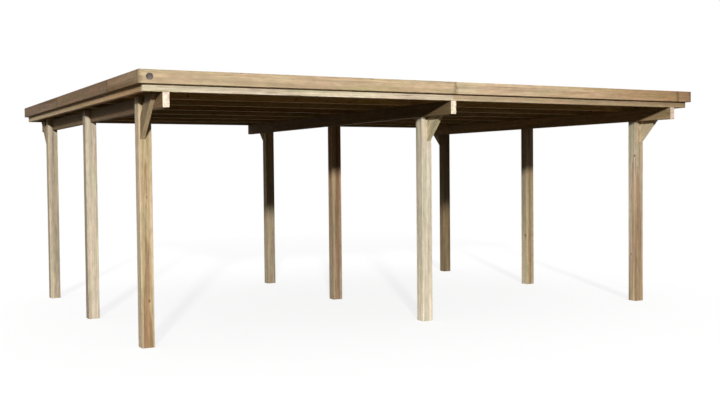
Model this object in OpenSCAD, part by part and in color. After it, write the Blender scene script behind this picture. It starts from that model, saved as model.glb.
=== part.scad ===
// Double timber carport with a flat roof.
// Nine notched posts carry three purlins, which run from front to back and
// hold the rafters. A rim of boards closes the rafter ends, and a fascia
// nailed outside the rim hides the roof sheets.
// The origin is the centre of the footprint on the ground. +X is to the
// right along the front, +Y is towards the back and +Z is up.

/* [Layout] */
// Distance between post centres across the front
bay_w = 2905; // [2400:5:3500]
// Distance between post centres from front to back
bay_d = 2010; // [1500:5:2600]
// Height of the purlins' underside above the ground
clear_h = 2080; // [1800:5:2600]
// How far the roof reaches past the outer posts at each side
side_overhang = 155; // [140:5:400]
// How far the roof reaches past the front and back posts
end_overhang = 575; // [450:5:900]

/* [Posts and purlins] */
// Side of a square post
post_w = 115; // [90:1:160]
// Thickness of a purlin, which is also the depth of the notch in a post
purlin_t = 60; // [40:1:75]
// Height of a purlin
purlin_h = 128; // [100:1:200]

/* [Knee braces] */
// Thickness of a brace
brace_t = 40; // [25:1:45]
// Width of the board that a brace is cut from
brace_w = 140; // [90:1:180]
// How far a brace's foot lies below the purlin
brace_drop = 248; // [230:1:400]

/* [Rafters] */
// Thickness of a rafter
rafter_t = 60; // [38:1:80]
// Height of the rafters and of the rim
rafter_h = 120; // [90:1:180]

/* [Rim] */
// Thickness of the front and back rim boards
rim_end_t = 60; // [38:1:80]
// Thickness of the side rim boards
rim_side_t = 45; // [28:1:60]

/* [Fascia] */
// Thickness of the fascia boards
fascia_t = 42; // [20:1:50]
// Height of the fascia boards
fascia_h = 115; // [95:1:200]
// How far the fascia laps down over the rim
fascia_lap = 58; // [20:1:70]
// Length of the short board at the front's right corner
front_end_l = 204; // [120:1:600]
// Length of the first board of each side, from the front
side_first_l = 1032; // [600:1:1800]
// Length of the second board of each side
side_second_l = 2232; // [1200:1:2600]
// Gap between two boards that meet end to end
board_gap = 2; // [1:0.5:5]

/* [Disc] */
// Diameter of the plain metal disc on the front fascia
disc_d = 60; // [40:1:90]
// Thickness of the disc
disc_t = 2; // [1:0.5:4]
// Distance from the left corner to the disc's centre
disc_from_corner = 92; // [60:1:200]
// Width of the chamfer round the disc's edge
disc_chamfer = 1; // [0.2:0.1:1]

/* [Roof sheets] */
// Height of a rib
rib_h = 35; // [15:1:40]
// Width of a rib at its top
rib_top_w = 40; // [20:1:60]
// Width of a rib at its base
rib_base_w = 76; // [65:1:100]
// Thickness of a sheet
sheet_t = 1; // [0.6:0.1:1.5]
// Number of sheets side by side
sheet_n = 6; // [4:2:8]
// Number of ribs from one lap to the next
ribs_per_sheet = 5; // [4:1:6]
// Flat strip beyond the last rib of a sheet
sheet_foot = 22; // [10:1:30]
// Gap between the sheets and the fascia
sheet_edge_gap = 6; // [3:1:20]
// Gap between two sheets where they lap
lap_gap = 0.3; // [0.2:0.1:0.5]

/* [Hidden] */

// Rows and columns of posts, and the two ends and sides of the roof
LEFT = -1;
MIDDLE = 0;
RIGHT = 1;
FRONT = -1;
CENTRE = 0;
BACK = 1;

// Half sizes of the roof over the fascia, and of the ring of rim boards
roof_hx = bay_w + post_w / 2 + side_overhang;
roof_hy = bay_d + post_w / 2 + end_overhang;
rim_hx = roof_hx - fascia_t;
rim_hy = roof_hy - fascia_t;

// Heights of the purlins' top, the rafters' top and the fascia's underside
purlin_top = clear_h + purlin_h;
rafter_top = purlin_top + rafter_h;
fascia_z = rafter_top - fascia_lap;

// Thickness of the tongue that is left beside a post's notch
tongue_t = post_w - purlin_t;

// Rafters, a node each, stand at equal spaces between the end rims
rafter_n = 6;
rafter_span = 2 * rim_hy - rim_end_t;
rafter_pitch = rafter_span / (rafter_n + 1);

// A brace stands at 45 degrees, so its cuts are the board's diagonal
brace_cut = brace_w * sqrt(2);

// Boards that meet end to end break over the middle purlin
seam_x = purlin_x(MIDDLE) + purlin_t / 2;

// Rib spacing that lets the sheets fill the width inside the fascia
rib_n = sheet_n * ribs_per_sheet;
rib_pitch = 2 * rim_hx / rib_n;
sheet_hy = rim_hy - sheet_edge_gap;
lap_lift = sheet_t + lap_gap;

// Facets of the disc's round edge
disc_fn = 96;

timber = [0.84, 0.75, 0.60];
timber_pale = [0.91, 0.86, 0.75];
timber_tan = [0.80, 0.69, 0.54];
timber_shade = [0.55, 0.46, 0.34];
disc_metal = [0.62, 0.60, 0.58];
sheet_metal = [0.33, 0.35, 0.37];

// Side of the post on which the notch for the purlin is cut: the left row
// is notched on its right side, and the other rows on their left side
function notch_side(column) = column == LEFT ? RIGHT : LEFT;

// Lowest x of a column's purlin, which is flush with the post's notched side
function purlin_x(column) =
    column * bay_w + (notch_side(column) == RIGHT ? post_w / 2 - purlin_t : -post_w / 2);

// Lowest x of a column's braces, which lie against the purlin beside the tongue
function brace_x(column) =
    purlin_x(column) + (notch_side(column) == RIGHT ? -brace_t : purlin_t);

// Lowest x of the tongue of a column's posts
function tongue_x(column) =
    column * bay_w + (notch_side(column) == RIGHT ? -post_w / 2 : post_w / 2 - tongue_t);

// Middle of a rib, counted from the left
function rib_x(rib) = -rim_hx + (rib + 0.5) * rib_pitch;

// Underside of a sheet from its first rib to its last, as points in X and Z
function sheet_line(first, last) = [
    [first == 0 ? -rim_hx + sheet_edge_gap : rib_x(first) - rib_base_w / 2 - sheet_foot, 0],
    for (rib = [first:last]) each [
        [rib_x(rib) - rib_base_w / 2, 0],
        [rib_x(rib) - rib_top_w / 2, rib_h],
        [rib_x(rib) + rib_top_w / 2, rib_h],
        [rib_x(rib) + rib_base_w / 2, 0]
    ],
    [last == rib_n - 1 ? rim_hx - sheet_edge_gap : rib_x(last) + rib_base_w / 2 + sheet_foot, 0]
];

// The same line in the opposite order
function backwards(line) = [for (i = [len(line) - 1:-1:0]) line[i]];

// A board along X: from x0 to x1, y0 to y1 and z0 to z1
module board(x0, x1, y0, y1, z0, z1) {
    translate([x0, y0, z0])
        cube([x1 - x0, y1 - y0, z1 - z0]);
}

// A post with its tongue, at a column and a row of the layout
module post(column, row) {
    x = column * bay_w;
    y = row * bay_d;
    half = post_w / 2;
    color(timber) union() {
        board(x - half, x + half, y - half, y + half, 0, clear_h);
        board(tongue_x(column), tongue_x(column) + tongue_t, y - half, y + half,
            0, purlin_top);
    }
}

// A purlin over the three posts of a column
module purlin(column) {
    color(timber_pale)
        board(purlin_x(column), purlin_x(column) + purlin_t, -rim_hy, rim_hy,
            clear_h, purlin_top);
}

// A knee brace from an end post outwards to the purlin's top
module brace(column, row) {
    foot_z = clear_h - brace_drop;
    rise = purlin_top - foot_z;
    outline = [
        [0, foot_z],
        [0, foot_z + brace_cut],
        [rise - brace_cut, purlin_top],
        [rise, purlin_top]
    ];
    color(timber_tan)
        translate([brace_x(column), row * (bay_d + post_w / 2), 0])
        mirror([0, row == FRONT ? 1 : 0, 0])
        rotate([90, 0, 90])
        linear_extrude(brace_t)
        polygon(outline);
}

// A rafter between the side rims, counted from the front
module rafter(number) {
    y = -rafter_span / 2 + number * rafter_pitch;
    color(timber_shade)
        board(-rim_hx + rim_side_t, rim_hx - rim_side_t, y - rafter_t / 2, y + rafter_t / 2,
            purlin_top, rafter_top);
}

// One of the two rim boards of the front or back
module rim_end(row, side) {
    x0 = side == LEFT ? -rim_hx : seam_x + board_gap / 2;
    x1 = side == LEFT ? seam_x - board_gap / 2 : rim_hx;
    y0 = row == FRONT ? -rim_hy : rim_hy - rim_end_t;
    color(timber_pale)
        board(x0, x1, y0, y0 + rim_end_t, purlin_top, rafter_top);
}

// The rim board of one side, between the front and back rims
module rim_side(side) {
    x0 = side == LEFT ? -rim_hx : rim_hx - rim_side_t;
    color(timber_tan)
        board(x0, x0 + rim_side_t, -rim_hy + rim_end_t, rim_hy - rim_end_t,
            purlin_top, rafter_top);
}

// A fascia board of the front or back, which runs over the ends of the sides
module fascia_end(row, x0, x1) {
    y0 = row == FRONT ? -roof_hy : rim_hy;
    color(timber)
        board(x0, x1, y0, y0 + fascia_t, fascia_z, fascia_z + fascia_h);
}

// A fascia board of one side
module fascia_side(side, y0, y1) {
    x0 = side == LEFT ? -roof_hx : rim_hx;
    color(timber_tan)
        board(x0, x0 + fascia_t, y0, y1, fascia_z, fascia_z + fascia_h);
}

// The first, second and last fascia board of a side, from the front
module fascia_side_front(side) {
    fascia_side(side, -rim_hy, -roof_hy + side_first_l - board_gap / 2);
}

module fascia_side_middle(side) {
    fascia_side(side, -roof_hy + side_first_l + board_gap / 2,
        -roof_hy + side_first_l + side_second_l - board_gap / 2);
}

module fascia_side_back(side) {
    fascia_side(side, -roof_hy + side_first_l + side_second_l + board_gap / 2, rim_hy);
}

// The plain disc on the front fascia, with its back on the board
module corner_disc() {
    color(disc_metal)
        translate([-roof_hx + disc_from_corner, -roof_hy, fascia_z + fascia_h / 2])
        rotate([90, 0, 0])
        rotate_extrude($fn = disc_fn)
        polygon([
            [0, 0],
            [disc_d / 2, 0],
            [disc_d / 2, disc_t - disc_chamfer],
            [disc_d / 2 - disc_chamfer, disc_t],
            [0, disc_t]
        ]);
}

// One ribbed sheet, from its first rib to its last, lifted where it laps
module roof_sheet(first, last, lift) {
    line = sheet_line(first, last);
    upper = [for (point = line) point + [0, sheet_t]];
    translate([0, sheet_hy, rafter_top + lift])
        rotate([90, 0, 0])
        linear_extrude(2 * sheet_hy)
        polygon(concat(line, backwards(upper)));
}

// Every second sheet: the lower ones start at 0, and the lapping ones at 1
module roof_sheets(start) {
    for (sheet = [start:2:sheet_n - 1]) {
        first = sheet * ribs_per_sheet;
        last = min(first + ribs_per_sheet, rib_n - 1);
        color(sheet_metal) roof_sheet(first, last, start * lap_lift);
    }
}

post(LEFT, FRONT);  // post_front_left
post(MIDDLE, FRONT);  // post_front_middle
post(RIGHT, FRONT);  // post_front_right
post(LEFT, CENTRE);  // post_centre_left
post(MIDDLE, CENTRE);  // post_centre_middle
post(RIGHT, CENTRE);  // post_centre_right
post(LEFT, BACK);  // post_back_left
post(MIDDLE, BACK);  // post_back_middle
post(RIGHT, BACK);  // post_back_right
purlin(LEFT);  // purlin_left
purlin(MIDDLE);  // purlin_middle
purlin(RIGHT);  // purlin_right
brace(LEFT, FRONT);  // brace_front_left
brace(MIDDLE, FRONT);  // brace_front_middle
brace(RIGHT, FRONT);  // brace_front_right
brace(LEFT, BACK);  // brace_back_left
brace(MIDDLE, BACK);  // brace_back_middle
brace(RIGHT, BACK);  // brace_back_right
rafter(1);  // rafter_1
rafter(2);  // rafter_2
rafter(3);  // rafter_3
rafter(4);  // rafter_4
rafter(5);  // rafter_5
rafter(6);  // rafter_6
rim_end(FRONT, LEFT);  // rim_front_left
rim_end(FRONT, RIGHT);  // rim_front_right
rim_end(BACK, LEFT);  // rim_back_left
rim_end(BACK, RIGHT);  // rim_back_right
rim_side(LEFT);  // rim_side_left
rim_side(RIGHT);  // rim_side_right
fascia_end(FRONT, -roof_hx, seam_x - board_gap / 2);  // fascia_front_left
fascia_end(FRONT, seam_x + board_gap / 2, roof_hx - front_end_l - board_gap / 2);  // fascia_front_right
fascia_end(FRONT, roof_hx - front_end_l + board_gap / 2, roof_hx);  // fascia_front_end
fascia_side_front(LEFT);  // fascia_left_front
fascia_side_middle(LEFT);  // fascia_left_middle
fascia_side_back(LEFT);  // fascia_left_back
fascia_side_front(RIGHT);  // fascia_right_front
fascia_side_middle(RIGHT);  // fascia_right_middle
fascia_side_back(RIGHT);  // fascia_right_back
fascia_end(BACK, -roof_hx, seam_x - board_gap / 2);  // fascia_back_left
fascia_end(BACK, seam_x + board_gap / 2, roof_hx);  // fascia_back_right
corner_disc();
roof_sheets(0);  // roof_sheets_under
roof_sheets(1);  // roof_sheets_over
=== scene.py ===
"""Looks of a double timber carport with a flat roof.

Each piece of the frame is worked out anew as a board with eased arrises, cut from a log of its
own: every point knows where it lies in that log, so rings, heartwood, knots and checks run
through the solid and meet at the edges. Screws, a turned disc and rolled roof sheets are added.
Lengths are metres: +X runs to the right along the front, +Y to the back, +Z up.
"""

import logging
import math
import zlib
from dataclasses import dataclass, replace
from enum import Enum
from typing import NamedTuple, Union

import bpy
import numpy as np
from mathutils import Matrix, Vector


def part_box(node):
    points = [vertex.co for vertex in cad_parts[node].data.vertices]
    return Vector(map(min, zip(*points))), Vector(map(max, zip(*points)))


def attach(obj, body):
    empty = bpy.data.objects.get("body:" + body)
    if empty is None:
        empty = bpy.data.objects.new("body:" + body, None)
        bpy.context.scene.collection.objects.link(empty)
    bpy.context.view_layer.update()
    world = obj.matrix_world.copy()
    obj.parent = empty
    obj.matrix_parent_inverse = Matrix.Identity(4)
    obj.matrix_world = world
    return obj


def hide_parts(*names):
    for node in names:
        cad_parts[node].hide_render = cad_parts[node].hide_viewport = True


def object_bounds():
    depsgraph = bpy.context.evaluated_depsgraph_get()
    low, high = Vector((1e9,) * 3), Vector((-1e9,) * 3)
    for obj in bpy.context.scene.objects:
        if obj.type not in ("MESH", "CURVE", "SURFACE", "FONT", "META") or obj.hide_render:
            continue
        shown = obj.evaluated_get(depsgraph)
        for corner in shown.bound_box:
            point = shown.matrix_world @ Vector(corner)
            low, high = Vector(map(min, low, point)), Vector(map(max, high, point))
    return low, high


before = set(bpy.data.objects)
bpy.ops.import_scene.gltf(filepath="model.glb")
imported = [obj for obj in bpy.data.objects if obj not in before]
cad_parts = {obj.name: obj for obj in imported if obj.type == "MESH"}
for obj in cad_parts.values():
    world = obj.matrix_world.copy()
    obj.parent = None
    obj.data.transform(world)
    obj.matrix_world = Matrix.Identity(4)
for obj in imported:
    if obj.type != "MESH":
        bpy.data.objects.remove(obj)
CAD_BOX = [list(corner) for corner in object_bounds()]
BODY = "root"
LOG = logging.getLogger("carport")

Colour = tuple[float, float, float]
Place = tuple[float, float, float]
Value = Union["Signal", float, Colour]

MM = 0.001
ARRIS = 3.0 * MM  # radius of a planed board's eased arris
END_EASE = 1.2 * MM  # radius round a sawn end
SUPPORT = 0.8 * MM  # flat strip beside each eased edge, which keeps the flats flat
PROUD = 0.7 * MM  # room that a screw head takes outside a board
TOUCH = 0.1 * MM  # a point this near a face lies on it
WELD = 0.01 * MM  # points this near each other are one
ARC_STEPS = 3
SMOOTH_ANGLE = math.radians(40)
WHITE: Colour = (1.0, 1.0, 1.0)


class Axis(Enum):
    """The direction in which a piece is carried, and with it the order of its section."""

    X = 0
    Y = 1
    Z = 2

    def to_frame(self, points: np.ndarray) -> np.ndarray:
        """Turns points given as (along, first side, second side) into (x, y, z)."""
        return np.roll(points, self.value, axis=-1)

    def from_frame(self, points: np.ndarray) -> np.ndarray:
        """Turns (x, y, z) into (along, first side, second side)."""
        return np.roll(points, -self.value, axis=-1)


class Column(Enum):
    """A line of posts from front to back."""

    LEFT = "left"
    MIDDLE = "middle"
    RIGHT = "right"


class Row(Enum):
    """A line of posts across the carport."""

    FRONT = "front"
    CENTRE = "centre"
    BACK = "back"


class Facing(Enum):
    """The way a fixing's head looks, as the frame's axes that its own x, y and z follow."""

    LEFT = ((0, -1, 0), (0, 0, 1), (-1, 0, 0))
    RIGHT = ((0, 1, 0), (0, 0, 1), (1, 0, 0))
    FRONT = ((1, 0, 0), (0, 0, 1), (0, -1, 0))
    BACK = ((-1, 0, 0), (0, 0, 1), (0, 1, 0))
    UP = ((1, 0, 0), (0, 1, 0), (0, 0, 1))


# ---------------------------------------------------------------- shells


@dataclass
class Shell:
    """A closed surface held as whole arrays.

    Attributes:
        points: places in the frame, one row each.
        faces: corners of each face, turning left as seen from outside.
        worn: how far each point lies on an eased edge, from 0 to 1.
    """

    points: np.ndarray
    faces: list[tuple[int, ...]]
    worn: np.ndarray

    def bounds(self) -> tuple[np.ndarray, np.ndarray]:
        """Gives the lowest and the highest corner."""
        return self.points.min(axis=0), self.points.max(axis=0)


@dataclass(frozen=True)
class Outline:
    """A loop round a section. A point of it is base + reach * normal.

    Attributes:
        base: where each point starts, inside the section.
        normal: the way each point moves as the section grows.
        worn: 1 on an eased corner and 0 on a flat.
    """

    base: np.ndarray
    normal: np.ndarray
    worn: np.ndarray


def eased_outline(corners: np.ndarray) -> Outline:
    """Rounds the corners of a convex loop.

    With n and m the outward normals of the two sides that meet at a corner, the arc's centre is
    the corner less ARRIS * (n + m) / (1 + n . m), and the arc turns from n to m. A point a
    little way along each side keeps that side flat.

    Args:
        corners: the loop's corners, turning left, one row each.

    Returns:
        The outline, whose points lie at reach = ARRIS.
    """
    side = np.roll(corners, -1, axis=0) - corners
    run = side / np.linalg.norm(side, axis=1, keepdims=True)
    after = np.stack([run[:, 1], -run[:, 0]], axis=1)
    before = np.roll(after, 1, axis=0)
    dot = (before * after).sum(axis=1)
    cross = before[:, 0] * after[:, 1] - before[:, 1] * after[:, 0]
    centre = corners - ARRIS * (before + after) / (1 + dot)[:, None]
    start = np.arctan2(before[:, 1], before[:, 0])[:, None]
    angle = start + np.arctan2(cross, dot)[:, None] * np.linspace(0, 1, ARC_STEPS + 1)
    arc = np.stack([np.cos(angle), np.sin(angle)], axis=-1)
    normal = np.concatenate([before[:, None], arc, after[:, None]], axis=1)
    base = np.repeat(centre[:, None], ARC_STEPS + 3, axis=1)
    base[:, 0] -= SUPPORT * np.roll(run, 1, axis=0)
    base[:, -1] += SUPPORT * run
    worn = np.ones(base.shape[:2])
    worn[:, [0, -1]] = 0
    return Outline(base.reshape(-1, 2), normal.reshape(-1, 2), worn.ravel())


def end_curve() -> tuple[np.ndarray, np.ndarray, np.ndarray]:
    """Gives the quarter round of a sawn end, from the cut face to the long sides.

    At turn t the section is drawn in by ease * (1 - sin t) and lies ease * (1 - cos t) from the
    cut. A support ring lies on either side.

    Returns:
        The rings' inset, their distance from the cut, and 1 for those on the round.
    """
    turn = np.linspace(0, math.pi / 2, ARC_STEPS + 1)
    inset = np.concatenate([[END_EASE + SUPPORT], END_EASE * (1 - np.sin(turn)), [0]])
    depth = np.concatenate([[0], END_EASE * (1 - np.cos(turn)), [END_EASE + SUPPORT]])
    worn = np.concatenate([[0], np.ones(ARC_STEPS + 1), [0]])
    return inset, depth, worn


def tube(flat: np.ndarray, along: np.ndarray, worn: np.ndarray, axis: Axis) -> Shell:
    """Joins a row of rings by quads and closes it by one face at each end.

    Args:
        flat: the rings' points across the axis, shaped (rings, points, 2).
        along: where each ring lies along the axis.
        worn: how far each point is eased, shaped (rings, points).
        axis: the axis.

    Returns:
        The closed shell.
    """
    rings, count = flat.shape[:2]
    third = np.broadcast_to(along[:, None, None], (rings, count, 1))
    points = axis.to_frame(np.concatenate([third, flat], axis=-1)).reshape(-1, 3)
    here = np.arange(rings - 1)[:, None] * count + np.arange(count)
    after = np.roll(here, -1, axis=1)
    quads = np.stack([here, after, after + count, here + count], axis=-1).reshape(-1, 4)
    caps = [tuple(range(count))[::-1], tuple(range(len(points) - count, len(points)))]
    return Shell(points, [tuple(quad) for quad in quads.tolist()] + caps, worn.ravel())


def prism(corners: np.ndarray, start: float, end: float, axis: Axis) -> Shell:
    """Carries a section straight along an axis, with eased arrises and ends.

    Args:
        corners: the section's corners, turning left, one row each.
        start: where the piece begins along the axis.
        end: where it ends.
        axis: the axis.

    Returns:
        The closed shell.
    """
    outline = eased_outline(corners)
    inset, depth, round_ring = end_curve()
    place = np.concatenate([start + depth, (end - depth)[::-1]])
    inset = np.concatenate([inset, inset[::-1]])
    round_ring = np.concatenate([round_ring, round_ring[::-1]])
    flat = outline.base[None] + (ARRIS - inset[:, None, None]) * outline.normal[None]
    return tube(flat, place, np.maximum(outline.worn[None], round_ring[:, None]), axis)


def box_corners(low: np.ndarray, high: np.ndarray) -> np.ndarray:
    """Gives the four corners of a section from its lowest and highest, turning left."""
    return np.array([[low[0], low[1]], [high[0], low[1]], [high[0], high[1]], [low[0], high[1]]])


def welded(shell: Shell) -> Shell:
    """Merges points that share a place, and drops the faces that this closes up.

    Args:
        shell: a shell with doubled points.

    Returns:
        The same surface with each place held once.
    """
    grid = np.round(shell.points / WELD).astype(np.int64)
    _, first, again = np.unique(grid, axis=0, return_index=True, return_inverse=True)
    again = again.ravel()
    worn = np.zeros(len(first))
    np.maximum.at(worn, again, shell.worn)
    turned = [tuple(dict.fromkeys(again[list(face)].tolist())) for face in shell.faces]
    return Shell(shell.points[first], [face for face in turned if len(face) > 2], worn)


def lathe(radius: np.ndarray, height: np.ndarray, sides: int) -> Shell:
    """Turns a profile round its own z axis.

    A point is (r cos a, r sin a, z), with a from 0 to a full turn and (r, z) along the profile,
    which climbs from the foot to the top.

    Args:
        radius: the profile's distances from the axis.
        height: the profile's heights.
        sides: number of facets round the axis.

    Returns:
        The closed shell.
    """
    angle = np.arange(sides) * 2 * math.pi / sides
    ring = np.stack([np.cos(angle), np.sin(angle)], axis=-1)
    return tube(radius[:, None, None] * ring[None], height, np.zeros((len(radius), sides)), Axis.Z)


def joined(shells: list[Shell]) -> Shell:
    """Puts several shells into one, each still closed by itself.

    Args:
        shells: the shells.

    Returns:
        All of them as one.
    """
    starts = np.cumsum([0] + [len(shell.points) for shell in shells[:-1]]).tolist()
    faces = [tuple(i + start for i in face) for shell, start in zip(shells, starts) for face in shell.faces]
    points = np.concatenate([shell.points for shell in shells])
    return Shell(points, faces, np.concatenate([shell.worn for shell in shells]))


def placed(shell: Shell, places: list[Place], facing: Facing) -> Shell:
    """Copies a small shell to many places, with its z axis turned to the way it faces.

    Args:
        shell: the shell, with its foot at the origin.
        places: where each copy's foot goes.
        facing: the way all the copies look.

    Returns:
        All the copies as one shell.
    """
    turned = shell.points @ np.array(facing.value, float)
    return joined([Shell(turned + np.array(place), shell.faces, shell.worn) for place in places])


def mesh_object(name: str, shell: Shell, material: bpy.types.Material) -> bpy.types.Object:
    """Makes a Blender object from a shell, smooth but for its sharp edges.

    Args:
        name: the object's name.
        shell: the surface.
        material: its finish.

    Returns:
        The object, linked to the scene.
    """
    mesh = bpy.data.meshes.new(name)
    mesh.from_pydata(shell.points.tolist(), [], shell.faces)
    mesh.polygons.foreach_set("use_smooth", np.ones(len(mesh.polygons), bool))
    mesh.set_sharp_from_angle(angle=SMOOTH_ANGLE)
    mesh.materials.append(material)
    mesh.update()
    piece = bpy.data.objects.new(name, mesh)
    bpy.context.scene.collection.objects.link(piece)
    return piece


def write_attribute(mesh: bpy.types.Mesh, name: str, values: np.ndarray) -> None:
    """Stores a number or a vector for each point of a mesh.

    Args:
        mesh: the mesh.
        name: the attribute's name.
        values: one row for each point.
    """
    kind, key = ("FLOAT", "value") if values.ndim == 1 else ("FLOAT_VECTOR", "vector")
    layer = mesh.attributes.new(name, kind, "POINT")
    layer.data.foreach_set(key, values.astype(np.float32).ravel())


def ride(piece: bpy.types.Object, slot: str = "", *nodes: str) -> None:
    """Lets a finished piece ride on the frame, and reports it.

    Args:
        piece: the piece.
        slot: the record's slot that its finish stands for, where it has one.
        nodes: the CAD nodes that it stands for.
    """
    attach(piece, BODY)
    if slot:
        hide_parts(*nodes)
    LOG.info("%s: %d points", piece.name, len(piece.data.vertices))


# ---------------------------------------------------------------- finishes


class Noise(NamedTuple):
    """A noise that a finish reads.

    Attributes:
        scale: cycles a metre along each axis of the space that it is read in.
        detail: number of finer layers.
        rough: share of each finer layer.
    """

    scale: Place
    detail: float = 2.0
    rough: float = 0.5


@dataclass(frozen=True)
class Signal:
    """An output on a bench. Sums, products and the like of it are further nodes.

    Attributes:
        bench: the bench.
        socket: the output.
    """

    bench: "Bench"
    socket: bpy.types.NodeSocket

    def __add__(self, other: Value) -> "Signal":
        """Adds."""
        return self.bench.join("ADD", self, other)

    def __sub__(self, other: Value) -> "Signal":
        """Takes another away."""
        return self.bench.join("SUBTRACT", self, other)

    def __rsub__(self, other: Value) -> "Signal":
        """Is taken away from a number."""
        return self.bench.join("SUBTRACT", other, self)

    def __mul__(self, other: Value) -> "Signal":
        """Multiplies, part by part where either is a vector."""
        return self.bench.join("MULTIPLY", self, other)

    def __truediv__(self, other: Value) -> "Signal":
        """Divides."""
        return self.bench.join("DIVIDE", self, other)


@dataclass
class Bench:
    """A node tree, with short calls for the nodes that the finishes use.

    Attributes:
        tree: the tree.
        material: the material that the tree belongs to, where it has one.
    """

    tree: bpy.types.NodeTree
    material: bpy.types.Material | None = None

    @classmethod
    def start(cls, name: str) -> "Bench":
        """Starts a new material.

        Args:
            name: the material's name.

        Returns:
            A bench with the material's own tree.
        """
        material = bpy.data.materials.new(name)
        material.use_nodes = True
        return cls(material.node_tree, material)

    @property
    def shader(self) -> bpy.types.Node:
        """Gives the material's shader."""
        return self.tree.nodes["Principled BSDF"]

    def put(self, socket: bpy.types.NodeSocket, value: Value) -> None:
        """Links a socket to a signal, or sets its value.

        Args:
            socket: an input.
            value: what it gets.
        """
        if isinstance(value, Signal):
            self.tree.links.new(value.socket, socket)
        elif isinstance(value, tuple) and socket.type == "RGBA":
            socket.default_value = (*value, 1.0)
        else:
            socket.default_value = value

    def add(self, kind: str, inputs: dict[int | str, Value], **settings: object) -> bpy.types.Node:
        """Adds a node.

        Args:
            kind: the node's type, without the ShaderNode prefix.
            inputs: what each named or numbered input gets.
            settings: the node's own properties.

        Returns:
            The node.
        """
        made = self.tree.nodes.new("ShaderNode" + kind)
        for key, value in settings.items():
            setattr(made, key, value)
        for key, value in inputs.items():
            self.put(made.inputs[key], value)
        return made

    def outputs(self, node: bpy.types.Node, *keys: int | str) -> list[Signal]:
        """Gives some of a node's outputs."""
        return [Signal(self, node.outputs[key]) for key in keys]

    def node(self, kind: str, inputs: dict, output: int | str = 0, **settings: object) -> Signal:
        """Adds a node as add() does, and gives one of its outputs."""
        return self.outputs(self.add(kind, inputs, **settings), output)[0]

    def join(self, operation: str, a: Value, b: Value = 0.0) -> Signal:
        """Combines two values by a Math node, or by a Vector Math node if either is a vector.

        Args:
            operation: the node's operation.
            a: the first value.
            b: the second.

        Returns:
            The result.
        """
        wide = [isinstance(v, tuple) or isinstance(v, Signal) and v.socket.type != "VALUE" for v in (a, b)]
        return self.node("VectorMath" if any(wide) else "Math", {0: a, 1: b}, operation=operation)

    def split(self, vector: Signal) -> list[Signal]:
        """Gives a vector's three parts."""
        return self.outputs(self.add("SeparateXYZ", {0: vector}), 0, 1, 2)

    def along(self, way: Place, vector: Signal) -> Signal:
        """Measures a vector along a way."""
        return self.node("VectorMath", {0: vector, 1: way}, "Value", operation="DOT_PRODUCT")

    def length(self, vector: Signal) -> Signal:
        """Measures how long a vector is."""
        return self.node("VectorMath", {0: vector}, "Value", operation="LENGTH")

    def step(self, value: Signal, low: float, high: float) -> Signal:
        """Goes smoothly from 0 at low to 1 at high."""
        inputs = {"Value": value, "From Min": low, "From Max": high}
        return self.node("MapRange", inputs, interpolation_type="SMOOTHSTEP")

    def spread(self, value: Signal, low: float, high: float) -> Signal:
        """Stretches a value from 0..1 to low..high."""
        return self.node("Math", {0: value, 1: high - low, 2: low}, operation="MULTIPLY_ADD")

    def noise(self, space: Signal, noise: Noise) -> Signal:
        """Reads a noise at a place.

        Args:
            space: the place.
            noise: the noise.

        Returns:
            A value whose mean is NOISE_MEAN.
        """
        inputs = {"Scale": 1.0, "Detail": noise.detail, "Roughness": noise.rough}
        inputs["Vector"] = space * noise.scale
        return self.node("TexNoise", inputs, noise_dimensions="3D")

    def mix(self, share: Value, a: Value, b: Value) -> Signal:
        """Mixes colour b over colour a by a share."""
        return self.node("Mix", {0: share, 6: a, 7: b}, 2, data_type="RGBA")

    def tint(self, share: Signal, colour: Signal, by: Colour) -> Signal:
        """Multiplies a colour by another, by a share."""
        return self.mix(share, colour, colour * by)

    def attribute(self, name: str, output: str) -> Signal:
        """Reads one of the piece's own attributes."""
        return self.node("Attribute", {}, output, attribute_name=name)

    def place(self) -> Signal:
        """Reads where a point lies in the frame."""
        return self.node("TexCoord", {}, "Object")

    def clear_rays(self) -> Signal:
        """Finds the rays that the camera sees by, straight, mirrored or let through.

        Returns:
            1 for such a ray, else 0.
        """
        rays = ("Is Camera Ray", "Is Glossy Ray", "Is Transmission Ray")
        seen, mirrored, through = self.outputs(self.add("LightPath", {}), *rays)
        return self.join("MAXIMUM", self.join("MAXIMUM", seen, mirrored), through)

    def relief(self, height: Signal, depth: float, strength: float) -> None:
        """Sets the shader's bump from a height.

        Args:
            height: the height, from 0 to 1.
            depth: how deep 1 is, in metres.
            strength: how much of it shows.
        """
        inputs = {"Height": height, "Distance": depth, "Strength": strength}
        self.put(self.shader.inputs["Normal"], self.node("Bump", inputs))

    def dress(self, **sockets: Value) -> bpy.types.Material:
        """Sets the shader's sockets, with spaces in their names written as underscores.

        Args:
            sockets: what each socket gets.

        Returns:
            The finished material.
        """
        for key, value in sockets.items():
            self.put(self.shader.inputs[key.replace("_", " ")], value)
        return self.material


NOISE_MEAN = 0.5
# Noises of a log's space: along the grain, across it and in depth
SLOW_BEND = Noise((0.8, 7, 7))
QUICK_BEND = Noise((3.5, 26, 26))
KNOT_EDGE = Noise((40, 60, 60))
HEART_EDGE = Noise((2.4, 34, 34), 3.0, 0.6)
STREAK = Noise((0.75, 34, 34), 4.0, 0.62)
BAND = Noise((0.5, 11, 11))
FIBRE = Noise((14, 620, 620))
POOL = Noise((0.9, 14, 14), 3.0, 0.6)
CHECK_LINE = Noise((0.8, 46, 46), 1.0)
CHECK_ZONE = Noise((0.7, 9, 9))
BLOTCH = Noise((9, 34, 34), 3.0, 0.65)
HUE = Noise((2.2, 12, 12), 3.0, 0.6)
SOIL_EDGE = Noise((5, 20, 20), 3.0, 0.6)

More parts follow.
